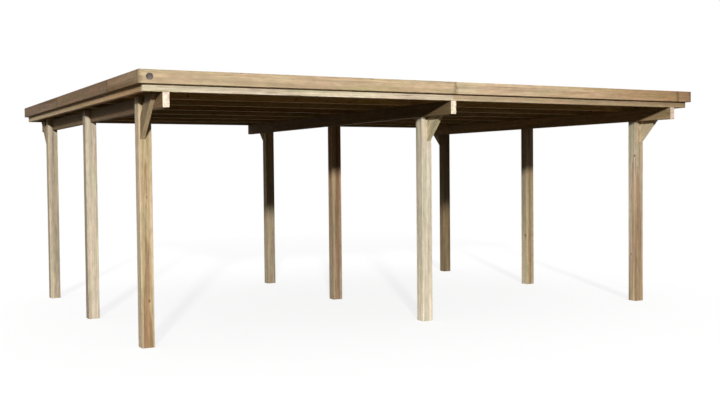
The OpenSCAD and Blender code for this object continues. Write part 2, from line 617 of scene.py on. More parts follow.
# Scale of the space of branches: heading from the pith, then distance along the grain
BRANCH_TURN: Place = (0.0, 0.42, 0.42)
BRANCH_RUN: Place = (7.0, 0.0, 0.0)
KNOT_SIZES = (0.04, 0.11)
KNOT_STRAY = 0.02  # how far its edge strays
NO_KNOT = 0.0001  # size of a knot that isn't there
# Where a knot, its collar and the swelling round it begin and end to fade, in knot sizes
RIMS = ((0.8, 1.0), (1.0, 1.7), (0.7, 3.2))
SWELL = 0.011  # how far rings bend out round a knot
QUICK = 0.003  # how far quick bends move the rings
HEART_RAGGED = 0.016  # how far the heartwood's edge strays
HEART_SOFT = 0.003  # half the width over which it fades
SOIL_REACH = (0.004, 0.034)  # distances from a sawn end between which soiling fades

# Where each of these fades in, as a share of a year or as a value of its noise
YEAR_DARKENS = (0.25, 0.9)
YEAR_ENDS = (0.93, 1.0)
ZONE_OF_CHECKS = (0.52, 0.62)
CHECK_WIDTH = (0.002, 0.009)
STAIN_POOLS = (0.46, 0.68)
HUE_TURNS = (0.36, 0.64)
WEAR_SHOWS = (0.4, 0.7)
# What these multiply the tone by at a noise of 0 and of 1, and the soiling's reach likewise
FIBRE_SPAN = (0.93, 1.07)
BLOTCH_SPAN = (0.64, 1.36)
SOIL_SPAN = (-0.6, 2.6)
# How strongly these show
BAND_SHARE = 0.5
COLLAR_SHARE = 0.45
KNOT_COVER = 0.8
WORN_SHARE = 0.35
# What these add to the roughness
LATE_ROUGH = -0.10
STREAK_ROUGH = 0.14
KNOT_ROUGH = -0.16
# What these add to the height of the grain
FIBRE_HEIGHT = 0.30
LATE_HEIGHT = 0.22
KNOT_HEIGHT = 0.25
CHECK_HEIGHT = -0.9

# Colours of growth, and what a colour is multiplied by
LATE_GROWTH: Colour = (0.36, 0.22, 0.10)
KNOT_RING: Colour = (0.30, 0.17, 0.08)
# Painted shade inside drying checks
CHECK_PAINTED_SHADE: Colour = (0.10, 0.06, 0.03)
COLLAR_TINT: Colour = (0.62, 0.48, 0.36)
ROSY_TINT: Colour = (1.035, 0.99, 0.985)
GREEN_TINT: Colour = (0.975, 1.005, 0.955)
SOIL_TINT: Colour = (0.34, 0.29, 0.25)
WORN_TINT: Colour = (0.80, 0.76, 0.70)


@dataclass(frozen=True)
class TimberFinish:
    """Planed, pressure-treated pine, as a solid pattern in the log's own space.

    Attributes:
        name: the material's name.
        slot: the record's slot that it stands for.
        sapwood: early growth near the bark.
        latewood: share by which late growth is darker.
        knot: colour of a knot.
        stain: what the treatment multiplies the colour by where it pools.
        stain_share: how strongly it shows.
        ring_width: growth in a year.
        wander: how far slow bends move the rings.
        knot_share: share of the places for a branch that hold a knot.
        streak: how far streaks change the tone.
        checks: how strongly the painted shade inside drying checks shows.
        roughness: mean roughness.
        relief: depth of the grain.
        end_soil: how far the wood is darkened for a few centimetres beside a sawn end.
    """

    name: str
    slot: str
    sapwood: Colour = (0.58, 0.48, 0.34)
    latewood: float = 0.30
    knot: Colour = (0.20, 0.10, 0.045)
    stain: Colour = (0.80, 0.86, 0.66)
    stain_share: float = 0.5
    ring_width: float = 5.0 * MM
    wander: float = 9.0 * MM
    knot_share: float = 0.4
    streak: float = 0.6
    checks: float = 0.6
    roughness: float = 0.66
    relief: float = 0.8 * MM
    end_soil: float = 0.0

    def branches(self, bench: Bench, grain: Signal, heading: Signal) -> list[Signal]:
        """Finds the knots.

        Branches run out from the pith, so a knot is a cell of a Voronoi pattern over
        (length, direction), and some of the cells hold one.

        Args:
            bench: the material's bench.
            grain: the place in the log.
            heading: the direction from the pith.

        Returns:
            How far a point belongs to a knot, to its collar and to the swelling round it.
        """
        space = heading * BRANCH_TURN + grain * BRANCH_RUN
        cells = bench.add("TexVoronoi", {"Vector": space, "Scale": 1.0}, voronoi_dimensions="3D")
        distance, draw = bench.outputs(cells, "Distance", "Color")
        pick, chance, _ = bench.split(draw)
        near = distance + bench.spread(bench.noise(grain, KNOT_EDGE), -KNOT_STRAY, KNOT_STRAY)
        present = bench.join("LESS_THAN", chance, self.knot_share)
        size = bench.join("MAXIMUM", bench.spread(pick, *KNOT_SIZES) * present, NO_KNOT)
        return [present * (1 - bench.step(near / size, *rim)) for rim in RIMS]

    def soiled(self, bench: Bench, grain: Signal, colour: Signal) -> Signal:
        """Darkens a colour towards the nearer sawn end, by the distance left over a ragged edge.

        Args:
            bench: the material's bench.
            grain: the place in the log.
            colour: the colour.

        Returns:
            The darkened colour.
        """
        from_middle, half, _ = bench.split(bench.attribute("span", "Vector"))
        gap = half - bench.join("ABSOLUTE", from_middle)
        ragged = bench.spread(bench.noise(grain, SOIL_EDGE), *SOIL_SPAN)
        soil = (1 - bench.step(gap / ragged, *SOIL_REACH)) * self.end_soil
        return bench.tint(soil, colour, SOIL_TINT)

    def material(self) -> bpy.types.Material:
        """Builds the finish.

        The distance from the pith, bent by noise and pushed out round knots, is cut into years:
        each darkens towards its end. The heartwood ends where that distance passes the heart's
        radius, over a ragged edge. Streaks, bands, fibres and checks are noises drawn out along
        the grain, blotches and the turn from rosy to greenish are rounder ones, and the stain
        pools in long patches.

        Returns:
            The material.
        """
        bench = Bench.start(self.name)
        grain = bench.attribute("grain", "Vector")
        _, across, depth = bench.split(grain)
        core = bench.node("CombineXYZ", {1: across, 2: depth})
        heading = bench.node("VectorMath", {0: core}, operation="NORMALIZE")
        knot, collar, swell = self.branches(bench, grain, heading)

        slow = bench.spread(bench.noise(grain, SLOW_BEND), -self.wander, self.wander)
        quick = bench.spread(bench.noise(grain, QUICK_BEND), -QUICK, QUICK)
        beyond = bench.length(core) + slow + quick - bench.attribute("heart", "Fac")
        year = bench.join("FRACT", (swell * SWELL + beyond) / self.ring_width)
        late = bench.step(year, *YEAR_DARKENS) * (1 - bench.step(year, *YEAR_ENDS))
        ragged = bench.spread(bench.noise(grain, HEART_EDGE), -HEART_RAGGED, HEART_RAGGED)
        heart = bench.step(beyond + ragged, HEART_SOFT, -HEART_SOFT)

        streak, band, fibre = (bench.noise(grain, noise) for noise in (STREAK, BAND, FIBRE))
        ridge = bench.join("ABSOLUTE", bench.noise(grain, CHECK_LINE) - NOISE_MEAN)
        dry = bench.step(bench.noise(grain, CHECK_ZONE), *ZONE_OF_CHECKS)
        check = dry * (1 - bench.step(ridge, *CHECK_WIDTH))

        colour = bench.mix(heart, self.sapwood, bench.attribute("core", "Vector") * self.sapwood)
        colour = bench.mix(late * self.latewood, colour, LATE_GROWTH)
        wide = bench.spread(band, 1 - BAND_SHARE * self.streak, 1 + BAND_SHARE * self.streak)
        narrow = bench.spread(streak, 1 - self.streak, 1 + self.streak)
        blotch = bench.spread(bench.noise(grain, BLOTCH), *BLOTCH_SPAN)
        shade = wide * narrow * (bench.spread(fibre, *FIBRE_SPAN) * blotch)
        colour = colour * shade * bench.attribute("tone", "Vector")
        hue = bench.step(bench.noise(grain, HUE), *HUE_TURNS)
        colour = colour * bench.mix(hue, ROSY_TINT, GREEN_TINT)
        pooled = bench.step(bench.noise(grain, POOL), *STAIN_POOLS)
        colour = bench.tint(pooled * self.stain_share, colour, self.stain)
        colour = bench.tint(collar * COLLAR_SHARE, colour, COLLAR_TINT)
        colour = bench.mix(knot * KNOT_COVER, colour, bench.mix(late, self.knot, KNOT_RING))
        # drying checks are darkened with painted shade inside the crack
        colour = bench.mix(check * self.checks, colour, CHECK_PAINTED_SHADE)
        if self.end_soil:
            colour = self.soiled(bench, grain, colour)
        worn = bench.attribute("worn", "Fac") * bench.step(band, *WEAR_SHOWS)
        colour = bench.tint(worn * WORN_SHARE, colour, WORN_TINT)

        rough = late * LATE_ROUGH + self.roughness + streak * STREAK_ROUGH + knot * KNOT_ROUGH
        height = fibre * FIBRE_HEIGHT + late * LATE_HEIGHT + knot * KNOT_HEIGHT + check * CHECK_HEIGHT
        bench.relief(height, self.relief, strength=0.7)
        return bench.dress(Base_Color=colour, Roughness=rough, Specular_IOR_Level=0.05)


@dataclass(frozen=True)
class SteelFinish:
    """Bare or coated steel with a soft mottle.

    Attributes:
        name: the material's name.
        colour: its main colour.
        dull: its colour where it has dulled.
        roughness: roughness of the clean steel.
        mottle: spots a metre.
        dulled: values of the noise between which the steel turns dull.
        duller: how much rougher it is there.
        fine_share: share of the finer noise in it.
        relief: depth of its grain.
    """

    name: str
    colour: Colour
    dull: Colour
    roughness: float
    mottle: float
    dulled: tuple[float, float] = (0.45, 0.9)
    duller: float = 0.18
    fine_share: float = 0.35
    relief: float = 0.15 * MM

    def material(self) -> bpy.types.Material:
        """Builds the finish: two layers of noise mix the dull colour in and roughen it.

        Returns:
            The material.
        """
        bench = Bench.start(self.name)
        coarse = bench.noise(bench.place(), Noise((self.mottle,) * 3, 3.0, 0.6))
        fine = bench.noise(bench.place(), Noise((self.mottle * 9,) * 3))
        mixed = bench.step(fine * self.fine_share + coarse, *self.dulled)
        bench.relief(fine, self.relief, strength=0.5)
        colour = bench.mix(mixed, self.colour, self.dull)
        rough = mixed * self.duller + self.roughness
        return bench.dress(Base_Color=colour, Roughness=rough, Metallic=1.0)


@dataclass(frozen=True)
class RoofFinish:
    """Grey coated roof sheet, with dust that lies in its troughs.

    Attributes:
        name: the material's name.
        slot: the record's slot that it stands for.
        low: height of the troughs.
        high: height at which the ribs are clean.
        coat: the coat's colour.
        dust: the dust's colour.
        underside_painted_shade: colour of the sheet's underside, a warm dark brown that is painted shade.
        back_patch: what its patches multiply that colour by.
        runs: noise of the streaks that dust runs in.
        spots: noise of the patches that it lies in.
        grit: noise of the coat's grain.
        runs_share: how much the streaks count beside the patches.
        settles: values of the two together between which dust settles.
        least_dust: share of the troughs' dust that the ribs keep.
        dust_share: how strongly dust covers the coat.
        roughness: roughness of the clean coat.
        dust_rough: how much rougher dust is.
        relief: depth of the grain.
    """

    name: str
    slot: str
    low: float
    high: float
    coat: Colour = (0.125, 0.135, 0.145)
    dust: Colour = (0.36, 0.34, 0.30)
    # the underside's warm dark brown is painted shade under the roof
    underside_painted_shade: Colour = (0.10, 0.065, 0.035)
    back_patch: float = 0.6
    runs: Noise = Noise((26, 0.9, 26), 4.0, 0.6)
    spots: Noise = Noise((9, 5, 9), 4.0, 0.62)
    grit: Noise = Noise((900, 900, 900), 1.0)
    runs_share: float = 0.8
    settles: tuple[float, float] = (0.72, 1.15)
    least_dust: float = 0.25
    dust_share: float = 0.7
    roughness: float = 0.52
    dust_rough: float = 0.30
    relief: float = 0.08 * MM

    def material(self) -> bpy.types.Material:
        """Builds the finish: dust fades with height and runs in streaks towards the back.

        Returns:
            The material.
        """
        bench = Bench.start(self.name)
        place = bench.place()
        trough = 1 - bench.step(bench.split(place)[2], self.low, self.high)
        spots = bench.noise(place, self.spots)
        drift = bench.step(bench.noise(place, self.runs) * self.runs_share + spots, *self.settles)
        settled = bench.spread(trough, self.least_dust, 1.0) * drift
        bench.relief(bench.noise(place, self.grit), self.relief, strength=0.4)
        # the underside takes the painted shade, darker in patches; the top takes the grey coat with dust
        darker = tuple(self.back_patch * part for part in self.underside_painted_shade)
        under = bench.mix(spots, self.underside_painted_shade, darker)
        top = bench.mix(settled * self.dust_share, self.coat, self.dust)
        return bench.dress(
            Base_Color=bench.mix(bench.attribute("upper", "Fac"), under, top),
            Roughness=settled * self.dust_rough + self.roughness,
            Specular_IOR_Level=0.3,
        )


# ---------------------------------------------------------------- timber


@dataclass(frozen=True)
class Cut:
    """How a piece was cut from its log, measured from the middle of the piece.

    Attributes:
        pith: where the log's centre lies from the piece's, across and in depth.
        lean: how far the pith drifts in each metre, across and in depth.
        heart: radius of the heartwood at the middle of the piece.
        taper: how much that radius, and every ring with it, shrinks in each metre of length.
        tone: what the wood's colour is multiplied by.
        core: what it is further multiplied by in the heartwood.
        end_tone: what it is further multiplied by on the two sawn ends.
        left_painted_shading: painted light and shade on the side towards -X: what the colour is further
            multiplied by there, above 1 where that side is painted lighter and below 1 where it is painted
            darker.
        far_tone_and_shade: what it is further multiplied by at the far end, fading to 1 at the near one:
            the wood's own change along the piece, and on some posts and boards painted light and shade.
        offset: where along its log the piece begins.
    """

    pith: tuple[float, float]
    lean: tuple[float, float] = (0.0, 0.0)
    heart: float = 0.0
    taper: float = 0.0
    tone: Colour = WHITE
    core: Colour = (0.78, 0.70, 0.64)
    end_tone: Colour = WHITE
    left_painted_shading: Colour = WHITE
    far_tone_and_shade: Colour = WHITE
    offset: float = 0.0


PITH_REACH = (0.75, 1.35)  # from the middle, in half diagonals of the section
HEART_REACH = (0.2, 0.95)  # the heartwood's radius, as a share of that distance
LEAN = 0.012  # how far the pith drifts at most in each metre
TAPER = 0.008  # how far the heartwood narrows at most in each metre
LOG_RUN = 40.0  # how far along its log a piece may begin


def chance_cut(name: str, section: tuple[float, float], tone: Colour, vary: float) -> Cut:
    """Draws a cut for a piece that has no marked figure of its own.

    The draw is fixed by the piece's name. The pith lies near the section's edge or outside it.

    Args:
        name: the piece's name.
        section: the section's two sides.
        tone: the mean tone.
        vary: how far the tone strays.

    Returns:
        The cut.
    """
    draw = np.random.default_rng(zlib.crc32(name.encode()))
    turn = draw.uniform(0, 2 * math.pi)
    reach = 0.5 * math.hypot(*section) * draw.uniform(*PITH_REACH)
    pith = (reach * math.cos(turn), reach * math.sin(turn))
    lean = tuple(draw.uniform(-LEAN, LEAN, 2).tolist())
    heart = reach * draw.uniform(*HEART_REACH)
    level = 1 + draw.uniform(-vary, vary)
    warm = draw.uniform(-vary, vary) * 0.5
    mixed = (tone[0] * level * (1 + warm), tone[1] * level, tone[2] * level * (1 - warm))
    return Cut(pith, lean, heart, draw.uniform(-TAPER, TAPER), mixed, offset=draw.uniform(0, LOG_RUN))


@dataclass
class Timber:
    """A piece of timber: its shell, the way its grain runs and the cut that it has.

    Attributes:
        node: the CAD node that it stands for.
        shell: its surface.
        grain: unit vectors along the grain, across it and in depth, one row each.
        cut: how it was cut from its log.
    """

    node: str
    shell: Shell
    grain: np.ndarray
    cut: Cut

    def make(self, material: bpy.types.Material, slot: str) -> None:
        """Makes the object, with each point's place in the log stored on it.

        With a the distance along the grain from the middle, the log's space is (a + offset,
        b - pith - lean * a, c - pith - lean * a), and the heartwood's edge is heart - taper * a.
        The tone goes evenly from its own value to that of the far end, which on some pieces is painted
        light and shade; the side towards -X takes painted light and shade of its own.

        Args:
            material: the finish.
            slot: the record's slot.
        """
        cut = self.cut
        piece = mesh_object("timber_" + self.node, self.shell, material)
        low, high = self.shell.bounds()
        log = (self.shell.points - (low + high) / 2) @ self.grain.T
        along = log[:, 0].copy()
        log[:, 1:] -= np.array(cut.pith) + np.outer(along, cut.lean)
        log[:, 0] += cut.offset
        half = np.abs(along).max()
        ends = np.abs(along) > half - TOUCH
        # points of the side towards -X, which take painted light and shade
        left = ~ends & (self.shell.points[:, 0] < low[0] + TOUCH)
        # the tone fades to the far end's, which on some pieces is painted light and shade
        run = (along[:, None] - along.min()) / np.ptp(along)
        tone = np.array(cut.tone) * (1 + run * (np.array(cut.far_tone_and_shade) - 1))
        tone[ends] *= cut.end_tone
        tone[left] *= cut.left_painted_shading
        write_attribute(piece.data, "grain", log)
        write_attribute(piece.data, "core", np.tile(cut.core, (len(along), 1)))
        write_attribute(piece.data, "heart", cut.heart - cut.taper * along)
        write_attribute(piece.data, "tone", tone)
        write_attribute(piece.data, "worn", self.shell.worn)
        span = np.stack([along, np.full_like(along, half), np.zeros_like(along)], axis=1)
        write_attribute(piece.data, "span", span)
        ride(piece, slot, self.node)


def node_box(name: str) -> tuple[np.ndarray, np.ndarray]:
    """Gives a CAD node's lowest and highest corners as arrays."""
    low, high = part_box(name)
    return np.array(low), np.array(high)


def middle_y(name: str) -> float:
    """Gives the y of the middle of a CAD node."""
    return sum(node_box(name))[1] / 2


def clear_of_sides(low: np.ndarray, high: np.ndarray) -> tuple[np.ndarray, np.ndarray]:
    """Draws a box in where it meets the outermost sides, so that screw heads have room there."""
    room = np.array([PROUD, PROUD, 0])
    return np.maximum(low, np.array(CAD_BOX[0]) + room), np.minimum(high, np.array(CAD_BOX[1]) - room)


# ---------------------------------------------------------------- posts


def over_rings(cut: np.ndarray, beyond: np.ndarray) -> np.ndarray:
    """Lays the values of a cut end over a post's rings: its foot, shoulder, seat and top.

    The shoulder takes them only where the post ends at the notch, and the two rings of the seat
    take none.

    Args:
        cut: the values from a cut face inwards.
        beyond: 1 for the points round the section that lie beyond the tongue.

    Returns:
        A value for each ring and point.
    """
    whole = np.ones(len(beyond))
    back = cut[::-1]
    seat = np.zeros((2, len(beyond)))
    return np.concatenate([np.outer(cut, whole), np.outer(back, beyond), seat, np.outer(back, whole)])


@dataclass(frozen=True)
class PostShape:
    """Sizes of a notched post, read from the frame.

    Attributes:
        low: lowest corner of the post.
        high: highest corner, at the tongue's top.
        seat: height of the notch's seat.
        line: x of the tongue's face towards the purlin.
        notch: 1 where the purlin lies to the right of the tongue, else -1.
    """

    low: np.ndarray
    high: np.ndarray
    seat: float
    line: float
    notch: int

    @classmethod
    def of(cls, row: Row, column: Column) -> "PostShape":
        """Reads a post's shape from its node and from the purlin in its notch.

        Args:
            row: the post's row.
            column: its column.

        Returns:
            The sizes.
        """
        low, high = node_box(f"post_{row.value}_{column.value}")
        purlin_low, purlin_high = node_box("purlin_" + column.value)
        notch = 1 if purlin_high[0] > high[0] - ARRIS else -1
        line = purlin_low[0] if notch > 0 else purlin_high[0]
        return cls(low, high, purlin_low[2], line, notch)

    def shell(self) -> Shell:
        """Carries the section up the post, and draws it in to the tongue above the seat.

        Above the seat every point's base is held at the tongue's side of the notch, so the
        part of the loop beyond it folds on to the tongue's inner face. The doubled points
        that this leaves are merged.

        Returns:
            The closed shell.
        """
        outline = eased_outline(box_corners(self.low[:2], self.high[:2]))
        inner = self.line - self.notch * ARRIS
        marks = np.sort([inner, self.line])
        front = np.stack([marks, np.full(2, self.low[1] + ARRIS)], axis=1)
        back = np.stack([marks[::-1], np.full(2, self.high[1] - ARRIS)], axis=1)
        where = np.repeat([1, 3], 2) * (ARC_STEPS + 3)
        base = np.insert(outline.base, where, np.concatenate([front, back]), axis=0)
        normal = np.insert(outline.normal, where, [[0, -1], [0, -1], [0, 1], [0, 1]], axis=0)
        worn = np.insert(outline.worn, where, 0)
        clip = np.minimum if self.notch > 0 else np.maximum
        tongue = np.stack([clip(base[:, 0], inner), base[:, 1]], axis=1)
        beyond = self.notch * (base[:, 0] + ARRIS * normal[:, 0] - self.line) > -WELD
        inset, depth, round_ring = end_curve()
        foot, top = self.low[2] + depth, self.high[2] - depth[::-1]
        rise = self.seat + np.array([0, SUPPORT])
        height = np.concatenate([foot, self.seat - depth[::-1], rise, top])
        start = np.stack([base] * 2 * len(depth) + [tongue] * (2 + len(depth)))
        flat = start + (ARRIS - over_rings(inset, beyond))[..., None] * normal[None]
        worn = np.maximum(worn[None], over_rings(round_ring, beyond))
        return welded(tube(flat, height, worn, Axis.Z))


@dataclass
class Posts:
    """The nine notched posts, each cut from a log of its own.

    Attributes:
        finish: the posts' finish.
        cuts: each post's cut, by row and column.
    """

    finish: TimberFinish
    cuts: dict[tuple[Row, Column], Cut]

    def build(self) -> None:
        """Makes the posts."""
        material = self.finish.material()
        grain = Axis.Z.to_frame(np.eye(3))
        for (row, column), cut in self.cuts.items():
            shell = PostShape.of(row, column).shell()
            Timber(f"post_{row.value}_{column.value}", shell, grain, cut).make(material, self.finish.slot)


# ---------------------------------------------------------------- beams and boards


@dataclass(frozen=True)
class BoardTone:
    """How pale a board is.

    Attributes:
        near: what its colour is multiplied by at its left or front end.
        far: what it is multiplied by at its other end, or None where both are alike.
        sawn: what it is further multiplied by on the two sawn ends.
    """

    # near and far hold the wood's own tone and, on some boards, painted light and shade
    near: Colour
    far: Colour | None = None
    sawn: Colour = WHITE


@dataclass
class Boards:
    """A group of straight boards that share a finish.

    Attributes:
        finish: their finish.
        axis: the way they run.
        tones: each board's tone, by its node's name.
        vary: how far a board's tone strays.
        hearts: whether heartwood shows.
    """

    finish: TimberFinish
    axis: Axis
    tones: dict[str, BoardTone]
    vary: float = 0.05
    hearts: bool = True

    def build(self, material: bpy.types.Material) -> None:
        """Makes the boards, each as the box of its node with eased edges.

        Args:
            material: the finish's material, which several groups may share.
        """
        for name, tone in self.tones.items():
            low, high = node_box(name)
            section = self.axis.from_frame(high - low)[1:]
            drawn = chance_cut(name, (section[0], section[1]), tone.near, self.vary)
            heart = drawn.heart if self.hearts else 0.0
            far_tone_and_shade = tuple(b / a for a, b in zip(tone.near, tone.far or tone.near))
            cut = replace(drawn, heart=heart, end_tone=tone.sawn, far_tone_and_shade=far_tone_and_shade)
            low, high = clear_of_sides(low, high)
            start, *section_low = self.axis.from_frame(low)
            end, *section_high = self.axis.from_frame(high)
            shell = prism(box_corners(section_low, section_high), start, end, self.axis)
            Timber(name, shell, self.axis.to_frame(np.eye(3)), cut).make(material, self.finish.slot)


@dataclass
class Braces:
    """The six knee braces between the end posts and the purlins.

    Attributes:
        finish: their finish.
        tones: each brace's tone, and the painted light and shade on its side towards -X, by row and column.
        board: width of the board that a brace is cut from.
        vary: how far a brace's tone strays.
    """

    finish: TimberFinish
    tones: dict[tuple[Row, Column], tuple[Colour, float]]
    board: float = 140 * MM
    vary: float = 0.05

    def outline(self, low: np.ndarray, high: np.ndarray, row: Row) -> np.ndarray:
        """Gives a brace's corners in y and z, turning left.

        The brace stands at 45 degrees, so its two cuts are the board's diagonal long.

        Args:
            low: the brace's lowest corner.
            high: its highest corner.
            row: the row of its post.

        Returns:
            Four corners, one row each.
        """
        cut = self.board * math.sqrt(2)
        rise = high[2] - low[2]
        reach = np.array([0, rise, rise - cut, 0])
        height = low[2] + np.array([0, rise, rise, cut])
        if row is Row.BACK:
            return np.stack([low[1] + reach, height], axis=1)
        return np.stack([high[1] - reach, height], axis=1)[::-1]

    def build(self, material: bpy.types.Material) -> None:
        """Makes the braces.

        Args:
            material: the finish's material.
        """
        half = math.sqrt(0.5)
        for (row, column), (tone, left) in self.tones.items():
            name = f"brace_{row.value}_{column.value}"
            low, high = node_box(name)
            lean = half if row is Row.BACK else -half
            grain = np.array([[0, lean, half], [1, 0, 0], [0, half, -lean]])
            shell = prism(self.outline(low, high, row), low[0], high[0], Axis.X)
            drawn = chance_cut(name, (high[0] - low[0], self.board), tone, self.vary)
            # left is the painted light and shade on the brace's side towards -X
            cut = replace(drawn, heart=0.0, left_painted_shading=(left, left, left))
            Timber(name, shell, grain, cut).make(material, self.finish.slot)


# ---------------------------------------------------------------- fixings


HEAD_SIDES = 14
HEXAGON = 6


def screw_head(size: float) -> Shell:
    """Makes a countersunk head that stands a hair proud, with its recess sunk in the middle.

    Args:
        size: the head's radius.

    Returns:
        The head, with its foot at the origin.
    """
    # From the foot up to the edge, the crown, and down into the recess
    radius = np.array([1.0, 1.0, 0.88, 0.42, 0.30]) * size
    height = np.array([0.0, 0.35, 0.60, 0.60, 0.10]) * MM
    return lathe(radius, height, HEAD_SIDES)


def roof_screw() -> Shell:
    """Makes a roofing screw: a domed sealing washer and a hexagon head.

    Returns:
        The screw, with its foot at the origin.
    """
    washer = np.array([[9.5, 9.5, 7.0, 5.4], [0.0, 0.8, 2.2, 2.6]]) * MM
    head = np.array([[4.9, 4.9, 4.2], [2.6, 6.8, 7.6]]) * MM
    return joined([lathe(*washer, HEAD_SIDES), lathe(*head, HEXAGON)])


@dataclass
class Fixings:
    """Countersunk screws of the frame.

    Attributes:
        finish: their dull steel.
        joint_up: height above the seat of the two screws at a post.
        joint_out: how far each of them lies from the post's middle, along the purlin.
        end_gap: distance from a fascia board's end and foot to its screws.
        brace_up: height above the purlin's foot of a brace's screws.
        brace_out: how far they lie from the brace's end at the post.
        joint_head: radius of the heads at a post.
        board_head: radius of those in the rims and the braces.
        fascia_head: radius of those in the fascia.
    """

    finish: SteelFinish
    joint_up: tuple[float, ...] = (36 * MM, 88 * MM)
    joint_out: tuple[float, ...] = (-27 * MM, 27 * MM)
    end_gap: float = 24 * MM
    brace_up: tuple[float, ...] = (62 * MM, 24 * MM, 62 * MM)
    brace_out: tuple[float, ...] = (215 * MM, 262 * MM, 300 * MM)
    joint_head: float = 6.0 * MM
    board_head: float = 5.2 * MM
    fascia_head: float = 4.0 * MM

    def joint_screws(self) -> Shell:
        """Places two screws at each post, from the tongue's side and from the purlin's.

        Returns:
            Heads on the tongues and on the purlins' free faces.
        """
        head = screw_head(self.joint_head)
        parts = []
        for column in Column:
            purlin_low, purlin_high = node_box("purlin_" + column.value)
            for row in Row:
                post = PostShape.of(row, column)
                middle = (post.low[1] + post.high[1]) / 2
                spots = [(out, post.seat + up) for out, up in zip(self.joint_out, self.joint_up)]
                faces = [(post.low[0], Facing.LEFT), (purlin_high[0], Facing.RIGHT)]
                if post.notch < 0:
                    faces = [(post.high[0], Facing.RIGHT), (purlin_low[0], Facing.LEFT)]
                for (x, facing), way in zip(faces, (1, -1)):
                    parts.append(placed(head, [(x, middle + way * out, z) for out, z in spots], facing))
        return joined(parts)

    def fascia_screws(self, boards: dict[str, Axis]) -> Shell:
        """Places two screws near each end of each fascia board, through its lap over the rim.

        Args:
            boards: the way each board runs, by its node's name.

        Returns:
            All the heads.
        """
        head = screw_head(self.fascia_head)
        rim_top = node_box("rim_side_left")[1][2]
        parts = []
        for name, axis in boards.items():
            low, high = clear_of_sides(*node_box(name))
            heights = [low[2] + self.end_gap, rim_top - 0.5 * self.end_gap]
            spots = [low[axis.value] + self.end_gap, high[axis.value] - self.end_gap]
            if axis is Axis.X:
                y, facing = (low[1], Facing.FRONT) if low[1] < 0 else (high[1], Facing.BACK)
                places = [(x, y, z) for x in spots for z in heights]
            else:
                x, facing = (low[0], Facing.LEFT) if low[0] < 0 else (high[0], Facing.RIGHT)
                places = [(x, y, z) for y in spots for z in heights]
            parts.append(placed(head, places, facing))
        return joined(parts)

    def rim_screws(self, rafters: list[str]) -> Shell:
        """Places two screws through the side rims into each rafter's end, below the fascia.

        Args:
            rafters: the rafters' node names.

        Returns:
            All the heads.
        """
        head = screw_head(self.board_head)
        fascia_foot = node_box("fascia_left_front")[0][2]
        parts = []
        for side, facing, edge in (("left", Facing.LEFT, 0), ("right", Facing.RIGHT, 1)):
            rim = node_box("rim_side_" + side)
            heights = np.linspace(rim[0][2], fascia_foot, 4)[1:3]
            places = [(rim[edge][0], middle_y(rafter), z) for rafter in rafters for z in heights]
            parts.append(placed(head, places, facing))
        return joined(parts)

    def brace_screws(self) -> Shell:
        """Places three screws through each brace's upper end into its purlin.

        Returns:
            All the heads.
        """
        head = screw_head(self.board_head)
        parts = []
        for row in (Row.FRONT, Row.BACK):
            for column in Column:
                low, high = node_box(f"brace_{row.value}_{column.value}")
                purlin_low, _ = node_box("purlin_" + column.value)
                left = low[0] < purlin_low[0]
                x, facing = (low[0], Facing.LEFT) if left else (high[0], Facing.RIGHT)
                start, way = (low[1], 1) if row is Row.BACK else (high[1], -1)
                spots = zip(self.brace_out, self.brace_up)
                places = [(x, start + way * out, purlin_low[2] + up) for out, up in spots]
                parts.append(placed(head, places, facing))
        return joined(parts)

    def build(self, fascia: dict[str, Axis], rafters: list[str]) -> None:
        """Makes all the fixings.

        Args:
            fascia: the way each fascia board runs, by its node's name.
            rafters: the rafters' node names.
        """
        material = self.finish.material()
        groups = {
            "joint_screws": self.joint_screws(),
            "fascia_screws": self.fascia_screws(fascia),
            "rim_screws": self.rim_screws(rafters),
            "brace_screws": self.brace_screws(),
        }
        for name, shell in groups.items():
            ride(mesh_object(name, shell, material))


@dataclass
class CornerDisc:
    """The plain round plate near the front left corner.

    Attributes:
        finish: its finish.
        slot: the record's slot that it stands for.
        rim: width of the raised rim.
        groove: depth of the face below the rim.
        soft: share of the thickness that the rim's round takes.
        step: width of the step inside the rim.
        rise: share of the groove by which the face rises in the middle.
        flat: radius of the flat in the middle.
        sides: number of facets round it.
    """

    finish: SteelFinish
    slot: str = "disc_metal"
    rim: float = 4.5 * MM
    groove: float = 0.9 * MM
    soft: float = 0.45
    step: float = 0.6 * MM
    rise: float = 0.55
    flat: float = 1.5 * MM
    sides: int = 64

    def build(self) -> None:
        """Turns the disc: a rounded rim, a step down and a low dome."""
        low, high = node_box("corner_disc")
        radius, thick = (high[0] - low[0]) / 2, high[1] - low[1]
        turn = np.linspace(0, math.pi / 2, 5)
        soft = self.soft * thick
        inner = radius - self.rim
        dome = np.linspace(inner - self.step, self.flat, 7)
        rise = thick - self.groove + self.rise * self.groove * (1 - (dome / inner) ** 2)
        profile = np.concatenate([[radius], radius - soft * (1 - np.cos(turn)), [inner], dome])
        height = np.concatenate([[0], thick - soft * (1 - np.sin(turn)), [thick], rise])
        middle = (low + high) / 2
        disc = lathe(profile, height, self.sides)
        shell = placed(disc, [(middle[0], high[1], middle[2])], Facing.FRONT)
        ride(mesh_object("turned_disc", shell, self.finish.material()), self.slot, "corner_disc")


# ---------------------------------------------------------------- roof


